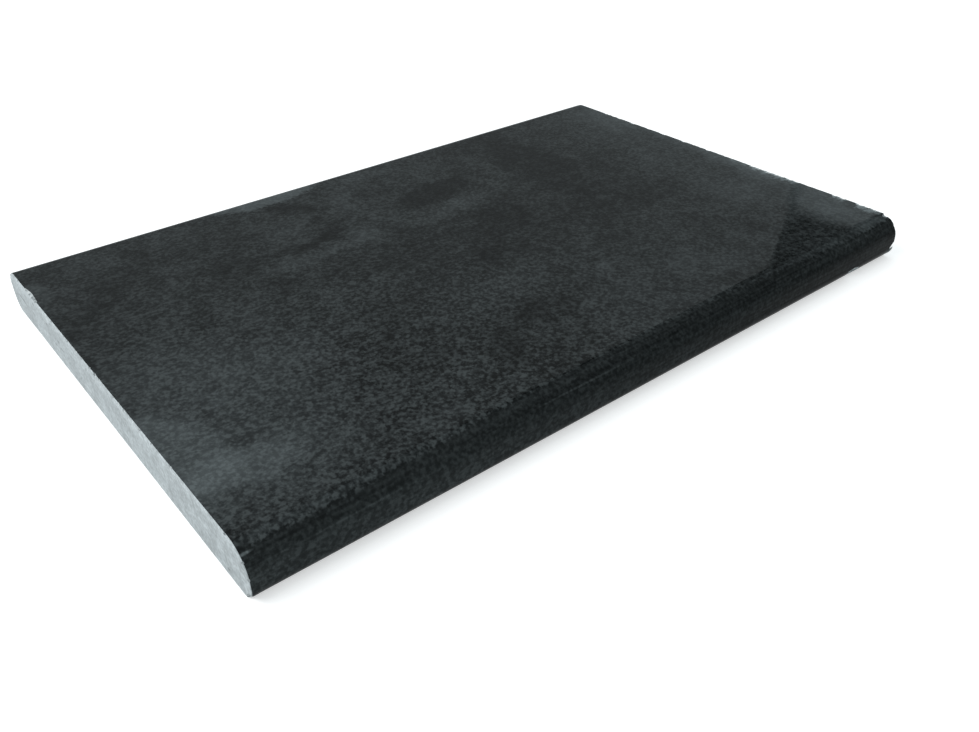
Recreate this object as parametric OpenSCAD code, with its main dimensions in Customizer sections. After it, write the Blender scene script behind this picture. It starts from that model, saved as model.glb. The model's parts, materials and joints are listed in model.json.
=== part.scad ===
// Pool coping stone: one slab of granite, 50 x 33 x 3 cm. Both long edges are turned to a nose with a
// large radius above and a smaller one below, and the two short ends are left as the saw cut them.
// Frame: X along the long edges, Z up, origin at the middle of the underside.

/* [Slab] */
// Length along the water's edge, from one sawn end to the other
stone_length = 500; // [250:10:1200]
// Width across the stone, from one nose to the other
stone_width = 330; // [200:5:600]
// Thickness between the underside and the top
stone_thickness = 30; // [27:1:80]

/* [Nosed edges] */
// Radius that the nose turns through from the top face
nose_top_radius = 15; // [3:0.5:16]
// Radius that the nose turns through into the underside
nose_bottom_radius = 9; // [3:0.5:10]

/* [Sawn ends] */
// Width of the small bevel that takes the sharpness off the arris all round each sawn end
end_arris = 0.5; // [0.2:0.1:2]

/* [Hidden] */
$fn = 96;
granite = [0.22, 0.24, 0.25];
half_length = stone_length / 2;
half_width = stone_width / 2;
half_thickness = stone_thickness / 2;
// How far a cutting solid reaches past the face that it cuts
overcut = 5;

// One long edge of an outline, this far from the X axis, eased where it meets the sawn ends
function eased_edge(reach) = [
    [-half_length, reach - end_arris],
    [-half_length + end_arris, reach],
    [half_length - end_arris, reach],
    [half_length, reach - end_arris]
];

// Outline of the slab seen square on to its top or to its side: two eased edges, opposite each other
module slab_outline(reach) {
    far_edge = eased_edge(reach);
    near_edge = [for (point = far_edge) -point];
    polygon(concat(far_edge, near_edge));
}

// The slab as sawn, before its noses are turned
module sawn_slab() {
    intersection() {
        linear_extrude(stone_thickness)
            slab_outline(half_width);
        translate([0, half_width, half_thickness])
            rotate([90, 0, 0])
                linear_extrude(stone_width)
                    slab_outline(half_thickness);
    }
}

// Round bar along X with eased ends, which the turned corner of the stone follows
module nose_bar(radius) {
    rotate([0, 90, 0])
        rotate_extrude()
            rotate(-90)
                polygon(concat([[-half_length, 0]], eased_edge(radius), [[half_length, 0]]));
}

// Waste of one turned corner, measured from its bar's axis: what lies outside the bar towards +Y,
// above the axis (up = 1) or below it (up = -1)
module corner_waste(radius, up) {
    reach = radius + overcut;
    difference() {
        translate([-half_length - overcut, 0, up > 0 ? 0 : -reach])
            cube([stone_length + 2 * overcut, reach, reach]);
        nose_bar(radius);
    }
}

// Waste of the +Y long edge: the upper and the lower corner of its nose
module nose_waste() {
    translate([0, half_width - nose_top_radius, stone_thickness - nose_top_radius])
        corner_waste(nose_top_radius, 1);
    translate([0, half_width - nose_bottom_radius, nose_bottom_radius])
        corner_waste(nose_bottom_radius, -1);
}

// The whole stone
module coping_stone() {
    color(granite)
        difference() {
            sawn_slab();
            nose_waste();
            mirror([0, 1, 0])
                nose_waste();
        }
}

coping_stone();
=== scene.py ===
import json
import math
import random

import bmesh
import bpy
from mathutils import Matrix, Vector

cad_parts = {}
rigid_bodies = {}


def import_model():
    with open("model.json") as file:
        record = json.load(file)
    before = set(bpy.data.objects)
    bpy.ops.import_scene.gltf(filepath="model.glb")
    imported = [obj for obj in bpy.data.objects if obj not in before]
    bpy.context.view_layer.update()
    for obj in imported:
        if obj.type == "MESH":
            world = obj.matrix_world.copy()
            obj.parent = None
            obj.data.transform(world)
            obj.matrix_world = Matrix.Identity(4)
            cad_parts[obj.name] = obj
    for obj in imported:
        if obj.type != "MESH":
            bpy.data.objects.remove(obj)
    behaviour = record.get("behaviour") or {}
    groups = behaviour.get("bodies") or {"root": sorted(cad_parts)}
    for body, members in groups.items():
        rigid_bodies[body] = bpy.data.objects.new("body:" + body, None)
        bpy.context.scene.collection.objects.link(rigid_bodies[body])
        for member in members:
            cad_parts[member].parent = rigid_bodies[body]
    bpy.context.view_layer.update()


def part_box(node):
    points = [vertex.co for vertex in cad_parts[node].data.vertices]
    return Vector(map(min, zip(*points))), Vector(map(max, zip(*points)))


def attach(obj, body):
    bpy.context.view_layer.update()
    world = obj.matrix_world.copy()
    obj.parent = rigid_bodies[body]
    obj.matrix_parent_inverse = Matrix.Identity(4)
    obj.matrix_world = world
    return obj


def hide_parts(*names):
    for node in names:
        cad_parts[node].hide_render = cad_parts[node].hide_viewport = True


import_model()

# The slab
# One piece of dark fine-grained granite, sawn to length and width. Both long edges are then profiled and
# polished to a nose with a large radius above and a smaller one below. It lies on its sawn underside.
MM = 0.001
slab_low, slab_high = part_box("coping_stone")
slab_size = slab_high - slab_low
slab_middle = (slab_low + slab_high) / 2
half_length = slab_size.x / 2
half_width = slab_size.y / 2
thickness = slab_size.z
nose_top_radius = 15 * MM
nose_bottom_radius = 9 * MM
end_arris = 0.5 * MM
slice_count = 125


def select_edges(piece, wanted):
    """Selects the edges whose middle and run pass the test, and nothing else."""
    bpy.ops.object.mode_set(mode="EDIT")
    bpy.ops.mesh.select_mode(type="EDGE")
    bpy.ops.mesh.select_all(action="DESELECT")
    cage = bmesh.from_edit_mesh(piece.data)
    for edge in cage.edges:
        start, end = edge.verts[0].co, edge.verts[1].co
        if wanted((start + end) / 2, end - start):
            edge.select_set(True)
    bmesh.update_edit_mesh(piece.data)


def round_over(radius, segments):
    """Rounds the selected edges to a radius."""
    bpy.ops.mesh.bevel(offset=radius, segments=segments, profile=0.5, affect="EDGES", clamp_overlap=False)


def runs_long_way(run):
    return abs(run.x) > 0.99 * run.length


bpy.ops.object.select_all(action="DESELECT")
bpy.ops.mesh.primitive_cube_add(size=1, location=slab_middle, scale=slab_size)
bpy.ops.object.transform_apply(location=True, rotation=True, scale=True)
stone = bpy.context.object
stone.name = "granite_coping"
stone.data.name = "granite_coping"

select_edges(stone, lambda at, run: runs_long_way(run) and at.z > slab_middle.z)
round_over(nose_top_radius, 14)
select_edges(stone, lambda at, run: runs_long_way(run) and at.z < slab_low.z + MM)
round_over(nose_bottom_radius, 9)
select_edges(stone, lambda at, run: runs_long_way(run))
bpy.ops.mesh.subdivide(number_cuts=slice_count - 1)
select_edges(stone, lambda at, run: abs(at.x) > half_length - MM and abs(run.x) < MM)
round_over(end_arris, 2)
bpy.ops.object.mode_set(mode="OBJECT")

# The polishing pads leave the noses very slightly wavy along their length
nose_waver = 0.12 * MM
noses = stone.vertex_groups.new(name="noses")
nose_points = [
    vertex.index
    for vertex in stone.data.vertices
    if abs(vertex.co.y) > half_width - nose_top_radius / 2 and abs(vertex.co.x) < half_length - MM
]
noses.add(nose_points, 1.0, "REPLACE")
pad_swing = bpy.data.textures.new("pad_swing", "CLOUDS")
pad_swing.noise_scale = 28 * MM
waver = stone.modifiers.new("waver", "DISPLACE")
waver.texture = pad_swing
waver.texture_coords = "LOCAL"
waver.vertex_group = "noses"
waver.strength = nose_waver
waver.mid_level = 1.0
bpy.ops.object.modifier_apply(modifier="waver")

# Chips
# Sawing and handling knock small flakes off the arrises of the sawn ends. The right end has most of them
# along its top, the left end has one long bruise near the back, and one flake is gone under the front nose.
chip_dice = random.Random(33)
chip_step = 7 * MM


def section_stops():
    """Walks round the slab's section, and gives the place and the outward direction of each stop."""
    turned_corners = [
        (half_width - nose_top_radius, thickness - nose_top_radius, nose_top_radius, 0),
        (nose_top_radius - half_width, thickness - nose_top_radius, nose_top_radius, 90),
        (nose_bottom_radius - half_width, nose_bottom_radius, nose_bottom_radius, 180),
        (half_width - nose_bottom_radius, nose_bottom_radius, nose_bottom_radius, 270),
    ]
    outline = []
    for y, z, radius, first_turn in turned_corners:
        for turn in range(first_turn, first_turn + 91, 15):
            out = Vector((0, math.cos(math.radians(turn)), math.sin(math.radians(turn))))
            outline.append((Vector((0, y, z)) + out * radius, out))
    outline.append(outline[0])
    stops = []
    for (start, out_at_start), (end, out_at_end) in zip(outline, outline[1:]):
        count = round((end - start).length / chip_step)
        for stop in range(count):
            share = (stop + 0.5) / count
            stops.append((start.lerp(end, share), out_at_start.lerp(out_at_end, share).normalized()))
    return stops


bpy.ops.object.select_all(action="DESELECT")
bpy.ops.mesh.primitive_ico_sphere_add(subdivisions=2, radius=1, location=(0, 0, 0))
flake = bpy.context.object
bpy.ops.object.mode_set(mode="EDIT")
bpy.ops.mesh.select_all(action="SELECT")
bpy.ops.transform.vertex_random(offset=0.22, seed=7)
bpy.ops.object.mode_set(mode="OBJECT")
flakes = bpy.data.collections.new("flakes")
bpy.context.scene.collection.children.link(flakes)


def knock_off(place, along, out, reach, bite, spread):
    """Places one flake. Reach is half its length along the arris, spread is half its width across the arris,
    and bite is how far it goes in."""
    piece = flake.copy()
    piece.data = flake.data.copy()
    axes = Matrix((along, out, along.cross(out))).transposed()
    swing = Matrix.Rotation(chip_dice.uniform(-0.4, 0.4) * bite / reach, 3, "Z")
    size = Matrix.Diagonal((reach, bite, spread * chip_dice.uniform(0.8, 1.3)))
    piece.matrix_world = Matrix.Translation(place) @ (axes @ swing @ size).to_4x4()
    flakes.objects.link(piece)


# Small flakes all round both ends, bolder along the top of the right end
whole_share = 0.4
boldest = 1.6
for end in (-1, 1):
    end_out = Vector((end, 0, 0))
    for place, out in section_stops():
        if chip_dice.random() < whole_share:
            continue
        boldness = boldest if end > 0 and out.z > 0.5 else 1.0
        along = end_out.cross(out).normalized()
        arris = end_out * half_length + place + along * chip_dice.uniform(-1.5, 1.5) * MM
        reach = boldness * chip_dice.uniform(0.5, 2.2) * MM
        bite = (0.35 + boldness * chip_dice.uniform(0.15, 0.5)) * MM
        knock_off(arris, along, (end_out + out).normalized(), reach, bite, bite)

to_front = Vector((0, -1, 0))
to_right = Vector((1, 0, 0))
# The long bruise near the back of the left end, and the blunt lower corner at its front
bruise = Vector((0.2 * MM - half_length, 117 * MM, thickness))
bruise_out = Vector((-0.4, 0, 1)).normalized()
knock_off(bruise, to_front, bruise_out, 13 * MM, 0.9 * MM, 2.0 * MM)
blunt_corner = Vector((-half_length, -161.5 * MM, 3.0 * MM))
round_the_corner = Vector((0, -0.7, 0.7))
corner_out = Vector((-0.6, -0.57, -0.57))
knock_off(blunt_corner, round_the_corner, corner_out, 3.5 * MM, 1.5 * MM, 1.5 * MM)
# The flake under the front nose, and a smaller one at its right tip
under_nose = Vector((202 * MM, -164.2 * MM, 4.8 * MM))
under_nose_out = Vector((0, -0.8, -0.6))
knock_off(under_nose, to_right, under_nose_out, 8 * MM, 1.5 * MM, 4.0 * MM)
tip = Vector((248.5 * MM, -163.8 * MM, 8.0 * MM))
up_the_nose = Vector((0, -0.5, 0.87))
tip_out = Vector((0.6, -0.7, -0.4)).normalized()
knock_off(tip, up_the_nose, tip_out, 5 * MM, 1.3 * MM, 5.5 * MM)
# Shallow flakes on the top of the right end. Each row gives the place along the end, half the length and
# half the width, in millimetres.
mostly_up = Vector((0.15, 0, 1)).normalized()
shallow_bite = 0.6 * MM
flake_lift = 0.05 * MM
top_flakes = [
    (-40, 3, 4.0), (-47, 5, 5.5), (-55, 5, 6.5), (-62, 4, 6.0), (-67, 3, 5.0), (-74, 3, 3.0), (-80, 3, 3.5),
    (-113, 2, 3.0), (-119, 3, 4.5), (-134, 4, 5.0), (-139, 3, 3.5), (-145, 4, 4.5), (-149, 3, 3.0),
    (4, 2, 2.5), (30, 2.5, 3.0), (52, 2, 2.5), (88, 3, 3.5), (121, 2, 2.5),
]
for y, half_long, half_wide in top_flakes:
    place = Vector((half_length, y * MM, thickness + flake_lift))
    knock_off(place, to_front, mostly_up, half_long * MM, shallow_bite, half_wide * MM)
notch = Vector((half_length - MM, -155 * MM, thickness - 0.6 * MM))
knock_off(notch, to_front, mostly_up, 2.5 * MM, 1.5 * MM, 3.5 * MM)

bpy.data.objects.remove(flake)

# Granite
# The same crystals run right through the slab: black hornblende, grey feldspar and a few pale grains, each
# about a millimetre across. Every finish below shows them in three colours of its own.
crystal_size = 1.3 * MM


def lay(tree, kind, sockets=None, **settings):
    """Lays a node in a tree. The sockets hold plain values, or outputs of other nodes to link."""
    made = tree.nodes.new(kind)
    for name, value in settings.items():
        setattr(made, name, value)
    for name, value in (sockets or {}).items():
        if isinstance(value, bpy.types.NodeSocket):
            tree.links.new(value, made.inputs[name])
        else:
            made.inputs[name].default_value = value
    return made


def calculate(tree, operation, first, second=0.0):
    """One sum on two values."""
    return lay(tree, "ShaderNodeMath", {0: first, 1: second}, operation=operation).outputs[0]


def move(tree, operation, first, second):
    """One sum on two places or directions."""
    return lay(tree, "ShaderNodeVectorMath", {0: first, 1: second}, operation=operation).outputs[0]


def ease(tree, value, low, high, to_low, to_high):
    """Turns a value between low and high softly into one between to_low and to_high."""
    sockets = {"Value": value, "From Min": low, "From Max": high, "To Min": to_low, "To Max": to_high}
    return lay(tree, "ShaderNodeMapRange", sockets, interpolation_type="SMOOTHSTEP").outputs[0]


def cloud(tree, place, size, detail=2.0):
    """Soft random clouds of about this size, from 0 to 1."""
    sockets = {"Vector": place, "Scale": 1 / size, "Detail": detail}
    return lay(tree, "ShaderNodeTexNoise", sockets)


def vary(tree, place, size, low, high):
    """A value that wanders softly from low to high, over clouds of this size."""
    return ease(tree, cloud(tree, place, size).outputs[0], 0.3, 0.7, low, high)


def stir(tree, place, size, detail, reach):
    """Shifts a place about, in swirls of this size and by up to half the reach each way."""
    drift = cloud(tree, place, size, detail).outputs["Color"]
    drift = move(tree, "SUBTRACT", drift, (0.5, 0.5, 0.5))
    drift = move(tree, "MULTIPLY", drift, reach)
    return move(tree, "ADD", place, drift)


def blend_colour(tree, share, first, second):
    """Goes from the first colour to the second by a share."""
    return lay(tree, "ShaderNodeMix", {0: share, 6: first, 7: second}, data_type="RGBA").outputs[2]


def tint(tree, colour, strength):
    """Makes a colour darker or lighter by a factor."""
    scaled = lay(tree, "ShaderNodeVectorMath", {0: colour}, operation="SCALE")
    tree.links.new(strength, scaled.inputs["Scale"])
    return scaled.outputs[0]


def start_group(name, takes, gives):
    """A node group with its named sockets, and its inner ends."""
    tree = bpy.data.node_groups.new(name, "ShaderNodeTree")
    for direction, sockets in (("INPUT", takes), ("OUTPUT", gives)):
        for label, kind in sockets.items():
            tree.interface.new_socket(label, in_out=direction, socket_type="NodeSocket" + kind)
    return tree, tree.nodes.new("NodeGroupInput").outputs, tree.nodes.new("NodeGroupOutput").inputs


crystals, taken, given = start_group(
    "granite_crystals",
    {"Place": "Vector", "Black Mineral": "Color", "Grey Mineral": "Color", "Pale Mineral": "Color"},
    {"Colour": "Color", "Kind": "Float"},
)
ragged = stir(crystals, taken["Place"], 0.8 * MM, 2.0, (1.4 * MM,) * 3)
cells = lay(crystals, "ShaderNodeTexVoronoi", {"Vector": ragged, "Scale": 1 / crystal_size})
cell_kind = lay(crystals, "ShaderNodeSeparateColor", {0: cells.outputs["Color"]}).outputs[0]
# A crystal's kind runs from 0, black, to 1, pale. Single crystals count for a third, and grown masses of
# them for the rest.
single_share = 0.34
grown = vary(crystals, taken["Place"], 1.7 * crystal_size, -0.12, 0.78)
clumps = vary(crystals, taken["Place"], 4 * MM, -0.11, 0.11)
crystal_kind = calculate(crystals, "ADD", calculate(crystals, "MULTIPLY", cell_kind, single_share), grown)
crystal_kind = calculate(crystals, "ADD", crystal_kind, clumps)
is_black = ease(crystals, crystal_kind, 0.08, 0.50, 1.0, 0.0)
is_pale = ease(crystals, crystal_kind, 0.50, 0.98, 0.0, 1.0)
crystal_colour = blend_colour(crystals, is_black, taken["Grey Mineral"], taken["Black Mineral"])
crystal_colour = blend_colour(crystals, is_pale, crystal_colour, taken["Pale Mineral"])
crystals.links.new(crystal_colour, given["Colour"])
crystals.links.new(crystal_kind, given["Kind"])


def start_finish(name, roughness, specular):
    """A material on the stone's own coordinates, with its shader at an even gloss."""
    finish = bpy.data.materials.new(name)
    finish.use_nodes = True
    tree = finish.node_tree
    shader = tree.nodes["Principled BSDF"]
    shader.inputs["Roughness"].default_value = roughness
    shader.inputs["Specular IOR Level"].default_value = specular
    return finish, tree, shader, tree.nodes.new("ShaderNodeTexCoord").outputs["Object"]


def show_crystals(tree, place, black, grey, pale):
    """Places the crystals in a finish, in its own three colours."""
    node = lay(tree, "ShaderNodeGroup", node_tree=crystals)
    tree.links.new(place, node.inputs["Place"])
    for label, colour in (("Black Mineral", black), ("Grey Mineral", grey), ("Pale Mineral", pale)):
        node.inputs[label].default_value = (*colour, 1.0)
    return node.outputs


# Haze on the polish
# The walking face keeps a cloudy haze from the polishing heads. It is palest along the right end and at the
# front of the left end, and it runs in loops at the back. Both polished finishes below share it.
polish_haze, taken, given = start_group(
    "polish_haze",
    {"Place": "Vector"},
    {"Haze": "Float", "Dullness": "Float"},
)
haze = vary(polish_haze, taken["Place"], 40 * MM, -0.20, 0.20)
mottle = vary(polish_haze, taken["Place"], 9 * MM, -0.20, 0.20)
haze = calculate(polish_haze, "ADD", haze, mottle)

# Each haze patch: where its middle is, half its length, half its width, its turn, and how much paler it is.
# Lengths are in millimetres and turns in degrees. A strength below nothing is a deeper polish.
broad_patches = [
    (-212, -45, 95, 90, 0, 0.78),
    (-218, -122, 66, 46, 0, 0.80),
    (-150, -128, 110, 34, 0, 0.22),
    (-190, 90, 85, 85, 0, -0.14),
    (30, 0, 170, 65, 0, -0.22),
    (90, -20, 95, 75, 0, -0.18),
    (-60, -75, 100, 50, 0, -0.06),
    (128, 70, 40, 125, 0, -0.44),
    (218, 20, 45, 190, 0, 0.52),
    (208, -68, 30, 46, 0, 0.30),
    (72, -120, 56, 30, 0, 0.32),
    (252, 10, 15, 180, 0, 1.80),
    (247, -56, 22, 66, 0, 1.50),
    (238, 110, 24, 42, 0, 1.10),
    (230, -128, 28, 46, 0, 1.70),
    (-246, 118, 8, 20, 0, 0.80),
    (-250, -128, 16, 18, 0, 0.45),
    (250, 48, 14, 30, 0, -0.55),
]
left_patches = [
    (-210, -57, 10, 10, 0, 0.80),
    (-180, 27, 28, 9, 72, -0.45),
    (-138, 62, 30, 34, 0, -0.48),
    (-225, 45, 14, 34, 0, -0.18),
    (-197, 125, 18, 10, 0, 0.40),
    (-178, 97, 9, 9, 0, 0.40),
    (-95, 22, 50, 22, 0, -0.16),
    (-78, -124, 34, 15, 25, -0.36),
    (-78, -3, 4, 5, 0, 0.70),
]
loop_patches = [
    (-95, 65, 36, 8, 0, -0.50),
    (-60, 76, 28, 7, 35, -0.55),
    (-66, 124, 34, 10, -39, -0.60),
    (-60, 96, 22, 8, 40, -0.55),
    (-88, 88, 26, 16, 20, 0.45),
    (-85, 49, 60, 12, 3, 0.70),
    (-45, 57, 12, 24, 0, 0.55),
    (-20, 125, 46, 13, 45, 0.40),
    (15, 143, 40, 11, 0, 0.50),
]
middle_patches = [
    (28, 79, 44, 18, 14, -1.15),
    (38, 53, 55, 12, 10, 0.55),
    (22, 15, 38, 34, 0, -0.22),
    (95, 20, 50, 25, 0, -0.10),
    (140, 78, 16, 46, -4, -0.28),
    (100, 128, 56, 32, 0, -0.32),
    (0, -27, 14, 20, 0, -0.35),
    (22, -45, 26, 60, 0, -0.12),
    (-15, -62, 34, 26, 15, 0.42),
    (-22, -98, 56, 15, 5, -0.42),
    (45, -82, 5, 6, 0, 0.90),
]
# These spots missed the last pass altogether, so their haze stops at a line
missed_patches = [
    (-254, -80, 46, 30, 120, 1.35),
    (-226, -113, 31, 15, -5, 0.95),
]
# A pale crescent with a clear rim lies along the back edge
crescent = [(-74, 154, 40, 14.5, -1, 2.20)]
# Small rubbed spots beside the flakes on the top of the right end
rubbed_spots = [
    (249, -24, 4, 3, 0, 3.0),
    (249, -34, 4, 2.5, 0, 4.0),
    (248.5, -44, 5, 4, 0, 7.0),
    (248, -54, 5, 4.5, 0, 6.0),
    (247, -65, 6, 3.5, 0, 4.5),
    (247, -72, 5, 3, 0, 5.0),
    (247, -78, 4, 2, 0, 4.0),
    (249, -116, 5, 3.5, 0, 8.0),
    (247, -122, 4, 3, 0, 4.0),
    (247, -137, 6, 4, 0, 7.0),
    (246, -144, 6, 4, 0, 6.0),
    (247, -149, 4, 2.5, 0, 5.0),
]
swirled = stir(polish_haze, taken["Place"], 14 * MM, 3.0, (16 * MM, 16 * MM, 0))
frayed = stir(polish_haze, taken["Place"], 2.5 * MM, 2.0, (12 * MM, 12 * MM, 0))


def lay_patch(tree, place, middle, half_size, turn, soft_from, strength):
    """A soft oval patch: full strength as far as soft_from of its half size, fading out past its rim."""
    patch = lay(tree, "ShaderNodeMapping", {"Vector": place}, vector_type="TEXTURE")
    patch.inputs["Location"].default_value = middle
    patch.inputs["Rotation"].default_value = (0, 0, math.radians(turn))
    patch.inputs["Scale"].default_value = half_size
    from_middle = lay(tree, "ShaderNodeVectorMath", {0: patch.outputs[0]}, operation="LENGTH")
    return ease(tree, from_middle.outputs["Value"], soft_from, 1.2, strength, 0.0)


soft_patches = broad_patches + left_patches + loop_patches + middle_patches
# Each kind of patch: how its outline runs, and how far from its middle it begins to fade
kinds_of_patch = [
    (swirled, 0.1, soft_patches),
    (swirled, 0.75, missed_patches),
    (frayed, 0.2, rubbed_spots),
    (frayed, 0.85, crescent),
]
for spot, soft_from, patches in kinds_of_patch:
    for x, y, half_long, half_wide, turn, strength in patches:
        middle = (x * MM, y * MM, thickness)
        half_size = (half_long * MM, half_wide * MM, 4 * thickness)
        patch = lay_patch(polish_haze, spot, middle, half_size, turn, soft_from, strength)
        haze = calculate(polish_haze, "ADD", haze, patch)
polish_haze.links.new(haze, given["Haze"])
# The crystals stand out most near the front of the left end, where the polish is worn
worn_corner = (-160 * MM, -half_width, thickness)
worn_near = 70 * MM
worn_far = 260 * MM
most_dull = 0.37
to_corner = {0: taken["Place"], 1: worn_corner}
from_corner = lay(polish_haze, "ShaderNodeVectorMath", to_corner, operation="DISTANCE")
dullness = ease(polish_haze, from_corner.outputs["Value"], worn_near, worn_far, 0.0, most_dull)
polish_haze.links.new(dullness, given["Dullness"])

# Polished top
# The walking face is ground and polished. Its haze lies over the crystals like a thin film, and where there
# is none the polish is deeper.
TOP_MINERALS = (0.0040, 0.0046, 0.0047), (0.0187, 0.0215, 0.0220), (0.043, 0.0495, 0.0505)
EVEN_GREY = (0.0200, 0.0230, 0.0235)
HAZE_FILM = (0.0185, 0.0213, 0.0222)
DEEPEST_POLISH = -0.58


def show_top(tree, place):
    """The colour of the top, how much haze it has, and the kind of crystal under it."""
    grains = show_crystals(tree, place, *TOP_MINERALS)
    hazed = lay(tree, "ShaderNodeGroup", node_tree=polish_haze)
    tree.links.new(place, hazed.inputs["Place"])
    haze = hazed.outputs["Haze"]
    colour = blend_colour(tree, hazed.outputs["Dullness"], grains["Colour"], (*EVEN_GREY, 1.0))
    missing = calculate(tree, "MAXIMUM", calculate(tree, "MINIMUM", haze, 0.0), DEEPEST_POLISH)
    film = tint(tree, HAZE_FILM, calculate(tree, "MAXIMUM", haze, 0.0))
    colour = tint(tree, colour, calculate(tree, "ADD", missing, 1.0))
    return move(tree, "ADD", colour, film), haze, grains["Kind"]


def open_pores(tree, shader, crystal_kind):
    """Sets the dark crystals a hair lower than the pale ones, as polishing leaves them."""
    pores = lay(tree, "ShaderNodeBump", {"Strength": 0.1, "Distance": 0.01 * MM, "Height": crystal_kind})
    tree.links.new(pores.outputs[0], shader.inputs["Normal"])


polished_top, tree, shader, place = start_finish("polished_top", roughness=0.12, specular=0.05)
top_colour, haze, crystal_kind = show_top(tree, place)
tree.links.new(top_colour, shader.inputs["Base Color"])
tree.links.new(ease(tree, haze, -0.5, 1.5, 0.05, 0.08), shader.inputs["Roughness"])
open_pores(tree, shader, crystal_kind)
stone.data.materials.append(polished_top)

# Polished noses
# The profile wheel polishes both noses deeper than the top, so they are almost black. The wheel leaves fine
# lines along them, and the deep polish begins on a ragged line just past the edge of the top. Painted
# reflections lie over the front nose: streaks along it, a dark band and a highlight. Its lower part is
# painted paler at the left and darker at the right.
NOSE_MINERALS = (0.0118, 0.0136, 0.0138), (0.0178, 0.0205, 0.0209), (0.0264, 0.0304, 0.031)
polished_noses, tree, shader, place = start_finish("polished_noses", roughness=0.07, specular=0.012)
grains = show_crystals(tree, place, *NOSE_MINERALS)
top_colour, haze, crystal_kind = show_top(tree, place)
axes = lay(tree, "ShaderNodeSeparateXYZ", {0: place}).outputs
from_edge = calculate(tree, "SUBTRACT", calculate(tree, "ABSOLUTE", axes["Y"]), half_width - nose_top_radius)
ragged_edge = ease(tree, crystal_kind, 0.0, 1.0, 0.8 * MM, -0.8 * MM)
ends_later = ease(tree, calculate(tree, "ABSOLUTE", axes["X"]), 20 * MM, 210 * MM, 0.0, -6.0 * MM)
from_edge = calculate(tree, "ADD", calculate(tree, "ADD", from_edge, ragged_edge), ends_later)
deep_polish = ease(tree, from_edge, 0.5 * MM, 3.0 * MM, 0.0, 1.0)

lines_place = lay(tree, "ShaderNodeMapping", {"Vector": place, "Scale": (0.012, 1.0, 1.0)}).outputs[0]
lines = ease(tree, cloud(tree, lines_place, 1.5 * MM, 3.0).outputs[0], 0.35, 0.65, 0.80, 1.20)
# Painted reflections on the front nose: thin pale and dark streaks along it, a painted highlight near the
# left end, a painted dark band, and its lower part painted paler at the left and darker at the right. Each
# gives the place of its middle along and up the nose, half its length and half its height, in millimetres,
# and how much paler it is
painted_nose_reflections = [
    (-50, 24.6, 42, 0.5, 0.90),
    (205, 25.5, 34, 0.8, 0.60),
    (-200, 25.2, 55, 0.8, -0.45),
    (-190, 20.6, 62, 0.8, 0.50),
    (-248, 26.2, 5, 0.6, 4.00),
    (80, 26.0, 110, 3.5, -0.20),
    (-240, 9.0, 270, 16, 0.85),
    (250, 9.0, 230, 16, -0.30),
]
# The painted reflections are added to the wheel's fine lines, and tint the nose colour with them
for x, z, half_long, half_high, strength in painted_nose_reflections:
    middle = (x * MM, -half_width, z * MM)
    half_size = (half_long * MM, 60 * MM, half_high * MM)
    lines = calculate(tree, "ADD", lines, lay_patch(tree, place, middle, half_size, 0, 0.3, strength))
nose_colour = tint(tree, grains["Colour"], lines)
edge_film = [0.5 * part for part in HAZE_FILM]
worn_edge = move(tree, "ADD", top_colour, edge_film)
tree.links.new(blend_colour(tree, deep_polish, worn_edge, nose_colour), shader.inputs["Base Color"])
open_pores(tree, shader, crystal_kind)
stone.data.materials.append(polished_noses)

# Sawn finish
# The ends and the underside are left as the diamond saw cut them: pale, dry and matt, with the same crystals
# bruised almost to one grey, and faint lines the way the blade ran.
saw_marks, taken, given = start_group(
    "saw_marks",
    {"Place": "Vector", "Line Spacing": "Float"},
    {"Tone": "Float", "Relief": "Float"},
)
line_place = lay(saw_marks, "ShaderNodeVectorMath", {0: taken["Place"]}, operation="SCALE")
saw_marks.links.new(calculate(saw_marks, "DIVIDE", 1.0, taken["Line Spacing"]), line_place.inputs["Scale"])
blade_lines = cloud(saw_marks, line_place.outputs[0], 1.0, 3.0)
saw_marks.links.new(ease(saw_marks, blade_lines.outputs[0], 0.3, 0.7, 0.96, 1.04), given["Tone"])
saw_marks.links.new(blade_lines.outputs[0], given["Relief"])


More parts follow.
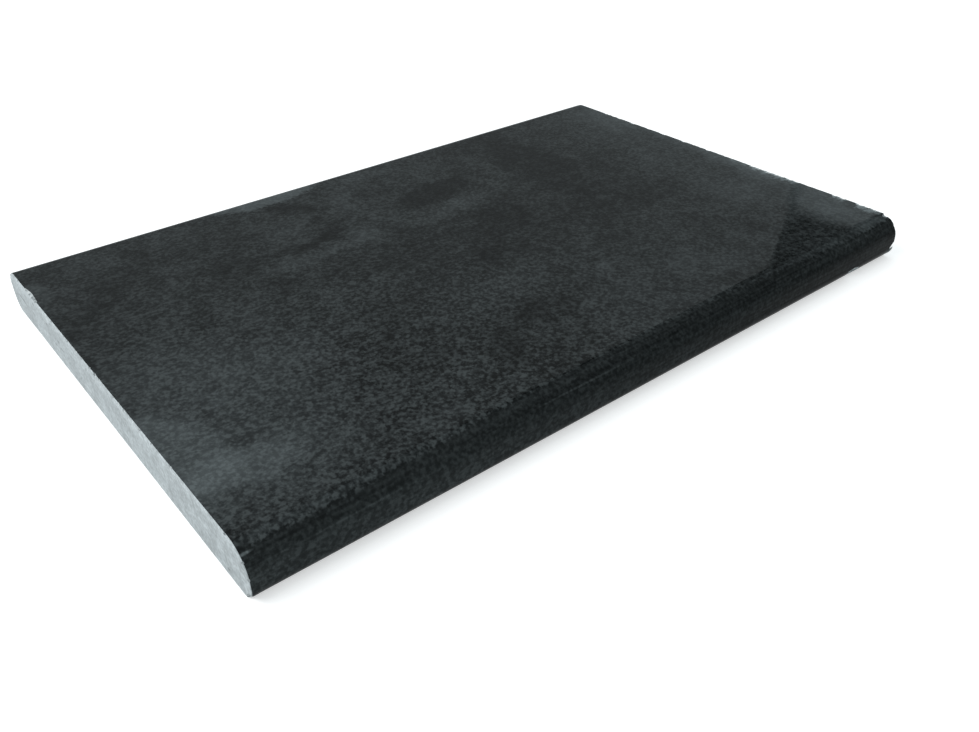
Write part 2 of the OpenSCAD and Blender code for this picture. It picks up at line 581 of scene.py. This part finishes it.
def sawn_finish(name, line_stretch, specks=()):
    """A sawn surface. The stretch draws the saw marks out along the blade's way."""
    finish, tree, shader, place = start_finish(name, roughness=0.85, specular=0.3)
    grains = show_crystals(tree, place, (0.39, 0.42, 0.43), (0.455, 0.49, 0.505), (0.53, 0.57, 0.585))
    stretched = lay(tree, "ShaderNodeMapping", {"Vector": place, "Scale": line_stretch}).outputs[0]
    marks = lay(tree, "ShaderNodeGroup", node_tree=saw_marks)
    tree.links.new(stretched, marks.inputs["Place"])
    marks.inputs["Line Spacing"].default_value = 2.5 * MM
    blotches = ease(tree, cloud(tree, place, 14 * MM, 2.0).outputs[0], 0.4, 0.6, -0.07, 0.07)
    tone = calculate(tree, "ADD", marks.outputs["Tone"], blotches)
    # The stone is bruised paler toward its top arris
    up = lay(tree, "ShaderNodeSeparateXYZ", {0: place}).outputs["Z"]
    tone = calculate(tree, "ADD", tone, ease(tree, up, thickness - 9 * MM, thickness - 2 * MM, 0.0, 0.14))
    for x, y, z, half_long, half_high, turn in specks:
        speck = lay(tree, "ShaderNodeMapping", {"Vector": place}, vector_type="TEXTURE")
        speck.inputs["Location"].default_value = (x * MM, y * MM, z * MM)
        speck.inputs["Rotation"].default_value = (math.radians(turn), 0, 0)
        speck.inputs["Scale"].default_value = (2 * MM, half_long * MM, half_high * MM)
        away = lay(tree, "ShaderNodeVectorMath", {0: speck.outputs[0]}, operation="LENGTH").outputs["Value"]
        tone = calculate(tree, "ADD", tone, ease(tree, away, 0.3, 1.2, -0.5, 0.0))
    tree.links.new(tint(tree, grains["Colour"], tone), shader.inputs["Base Color"])
    fine = cloud(tree, place, 0.5 * MM, 3.0).outputs[0]
    height = calculate(tree, "ADD", marks.outputs["Relief"], calculate(tree, "MULTIPLY", fine, 0.6))
    rough = lay(tree, "ShaderNodeBump", {"Strength": 0.5, "Distance": 0.12 * MM, "Height": height})
    tree.links.new(rough.outputs[0], shader.inputs["Normal"])
    return finish


# Dark specks on the left end: where each one is, half its length, half its height, and its turn
end_specks = [
    (-250, 144.0, 15.6, 8.0, 1.1, 4),
    (-250, 114.4, 24.5, 1.6, 1.1, 0),
    (-250, 91.5, 21.2, 1.5, 1.1, 0),
    (-250, 82.3, 25.5, 1.5, 1.1, 0),
    (-250, 81.6, 11.7, 2.0, 1.1, 0),
    (-250, 72.9, 17.4, 1.5, 1.1, 0),
    (-250, 69.3, 13.8, 3.0, 1.0, 10),
    (-250, -143.1, 5.1, 1.2, 1.1, 0),
]
stone.data.materials.append(sawn_finish("sawn_ends", (1.0, 0.05, 1.0), end_specks))
stone.data.materials.append(sawn_finish("sawn_underside", (0.02, 1.0, 1.0)))
TOP, NOSE, SAWN_END, SAWN_UNDERSIDE = range(4)
straight_down = -0.999
top_ends_at = math.cos(math.radians(13))
for face in stone.data.polygons:
    if abs(face.center.x) > half_length - end_arris:
        face.material_index = SAWN_END
    elif face.normal.z < straight_down:
        face.material_index = SAWN_UNDERSIDE
    elif face.normal.z < top_ends_at:
        face.material_index = NOSE
    else:
        face.material_index = TOP

# Broken surface inside the chips
# Freshly broken stone: the crystals are white with tiny fractures, and every facet is rough.
broken, tree, shader, place = start_finish("broken_granite", roughness=0.9, specular=0.3)
grains = show_crystals(tree, place, (0.22, 0.24, 0.25), (0.42, 0.45, 0.46), (0.62, 0.65, 0.66))
tree.links.new(grains["Colour"], shader.inputs["Base Color"])
splinters = cloud(tree, place, 0.4 * MM, 4.0).outputs[0]
facets = lay(tree, "ShaderNodeBump", {"Strength": 0.7, "Distance": 0.2 * MM, "Height": splinters})
tree.links.new(facets.outputs[0], shader.inputs["Normal"])
for piece in flakes.objects:
    piece.data.materials.append(broken)

# The flakes are cut out of the slab, and their faces bring the broken surface with them
bpy.ops.object.select_all(action="DESELECT")
stone.select_set(True)
bpy.context.view_layer.objects.active = stone
knocking = stone.modifiers.new("chips", "BOOLEAN")
knocking.operation = "DIFFERENCE"
knocking.operand_type = "COLLECTION"
knocking.collection = flakes
knocking.solver = "MANIFOLD"
knocking.material_mode = "TRANSFER"
bpy.ops.object.modifier_apply(modifier="chips")
for piece in list(flakes.objects):
    bpy.data.objects.remove(piece)
bpy.data.collections.remove(flakes)
# Crumbs left standing between two flakes are swept away, and the finest slivers of the mesh are closed up
sliver = 0.004 * MM
mid_slab = 10 * MM
select_edges(stone, lambda at, run: abs(at.x) < mid_slab)
bpy.ops.mesh.select_linked()
bpy.ops.mesh.select_all(action="INVERT")
bpy.ops.mesh.delete(type="VERT")
bpy.ops.mesh.select_all(action="SELECT")
bpy.ops.mesh.remove_doubles(threshold=sliver)
bpy.ops.mesh.dissolve_degenerate(threshold=sliver)
bpy.ops.object.mode_set(mode="OBJECT")
bpy.ops.object.shade_smooth_by_angle(angle=math.radians(30))
even = stone.modifiers.new("even", "WEIGHTED_NORMAL")
even.keep_sharp = True
bpy.ops.object.modifier_apply(modifier="even")

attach(stone, "root")
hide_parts("coping_stone")

# Floor
# A plain white floor that keeps the stone's soft shadow and runs out to the white background.
floor_size = 16.0
floor_gap = 0.2 * MM
bpy.ops.object.select_all(action="DESELECT")
bpy.ops.mesh.primitive_plane_add(size=floor_size, location=(0, 0, -floor_gap))
floor = bpy.context.object
floor.name = "floor"


def seen_as_background(tree):
    """1 for rays that look at the background or show it in a gloss or through glass, otherwise 0."""
    rays = tree.nodes.new("ShaderNodeLightPath").outputs
    seen = calculate(tree, "MAXIMUM", rays["Is Camera Ray"], rays["Is Glossy Ray"])
    return calculate(tree, "MAXIMUM", seen, rays["Is Transmission Ray"])


white_floor = bpy.data.materials.new("white_floor")
white_floor.use_nodes = True
tree = white_floor.node_tree
shader = tree.nodes["Principled BSDF"]
shader.inputs["Base Color"].default_value = (0.86, 0.86, 0.86, 1.0)
shader.inputs["Roughness"].default_value = 1.0
shader.inputs["Specular IOR Level"].default_value = 0.0
shader.inputs["Emission Color"].default_value = (1.0, 1.0, 1.0, 1.0)
floor_glow = 0.5
floor_lift = calculate(tree, "MULTIPLY", seen_as_background(tree), floor_glow)
tree.links.new(floor_lift, shader.inputs["Emission Strength"])
floor.data.materials.append(white_floor)

# Light
# Even daylight from all round with one large soft lamp high up beyond the left end, and a dark screen off to
# the right that is only seen as a reflection.
studio = bpy.data.worlds.new("studio")
bpy.context.scene.world = studio
studio.use_nodes = True
tree = studio.node_tree
background = tree.nodes["Background"]
rays = tree.nodes.new("ShaderNodeLightPath").outputs
daylight = 0.62
glow = ease(tree, seen_as_background(tree), 0.0, 1.0, daylight, 1.0)
way = tree.nodes.new("ShaderNodeTexCoord").outputs["Generated"]
height = lay(tree, "ShaderNodeSeparateXYZ", {0: way}).outputs["Z"]
# The gloss sees a dimmer horizon, so that the dark stone isn't veiled in white
low_sky, high_sky = 0.25, 0.65
horizon_strength = 0.35
horizon = ease(tree, height, low_sky, high_sky, horizon_strength, 1.0)
horizon = calculate(tree, "MAXIMUM", horizon, calculate(tree, "SUBTRACT", 1.0, rays["Is Glossy Ray"]))
tree.links.new(calculate(tree, "MULTIPLY", glow, horizon), background.inputs["Strength"])
cool_light = (0.90, 0.98, 1.0, 1.0)
plain_white = (1.0, 1.0, 1.0, 1.0)
straight = calculate(tree, "MAXIMUM", rays["Is Camera Ray"], rays["Is Transmission Ray"])
tree.links.new(blend_colour(tree, straight, cool_light, plain_white), background.inputs["Color"])

lamp_data = bpy.data.lights.new("soft_lamp", "AREA")
lamp_data.shape = "RECTANGLE"
lamp_data.size = 1.6
lamp_data.size_y = 1.2
lamp_data.energy = 24
lamp = bpy.data.objects.new("soft_lamp", lamp_data)
bpy.context.scene.collection.objects.link(lamp)
lamp.location = (-1.5, 0.5, 1.7)
lamp.rotation_euler = (slab_middle - lamp.location).to_track_quat("-Z", "Y").to_euler()

# The screen leans a little to the back. Its far edge ends the dark triangle on the top, and its stand
# carries on from there as a thin dark line.
screen_right = 1.3
screen_near, screen_far = -2.3, 0.561
screen_foot, screen_head = 0.58, 2.5
stand_foot, stand_near, stand_far = 0.45, 0.528, 0.551
screen_lean = 0.16
black_cloth = bpy.data.materials.new("black_cloth")
black_cloth.use_nodes = True
black_cloth.node_tree.nodes["Principled BSDF"].inputs["Base Color"].default_value = (0.02, 0.02, 0.02, 1.0)
black_cloth.node_tree.nodes["Principled BSDF"].inputs["Roughness"].default_value = 1.0
screen_parts = [
    ("dark_screen", screen_near, screen_far, screen_foot, screen_head),
    ("screen_stand", stand_near, stand_far, stand_foot, screen_foot),
]
for name, near, far, foot, head in screen_parts:
    bpy.ops.object.select_all(action="DESELECT")
    bpy.ops.mesh.primitive_plane_add(
        size=1,
        location=(screen_right, (near + far) / 2, (foot + head) / 2),
        rotation=(0, math.radians(90), 0),
    )
    bpy.ops.transform.resize(value=(1, far - near, head - foot))
    bpy.ops.object.transform_apply(location=True, rotation=True, scale=True)
    screen = bpy.context.object
    screen.name = name
    for corner in screen.data.vertices:
        corner.co.y += screen_lean * (corner.co.z - foot)
    for sight in ("visible_camera", "visible_diffuse", "visible_transmission", "visible_shadow"):
        setattr(screen, sight, False)
    screen.data.materials.append(black_cloth)

# Camera
camera_data = bpy.data.cameras.new("camera")
camera = bpy.data.objects.new("camera", camera_data)
bpy.context.scene.collection.objects.link(camera)
camera_data.sensor_width = 36.0
camera_data.lens = 33.8
camera.location = (-0.3398, -0.4380, 0.3071)
camera.rotation_euler = [math.radians(angle) for angle in (55.71, 0.43, -39.32)]
bpy.context.scene.camera = camera
bpy.context.scene.view_settings.view_transform = "Standard"
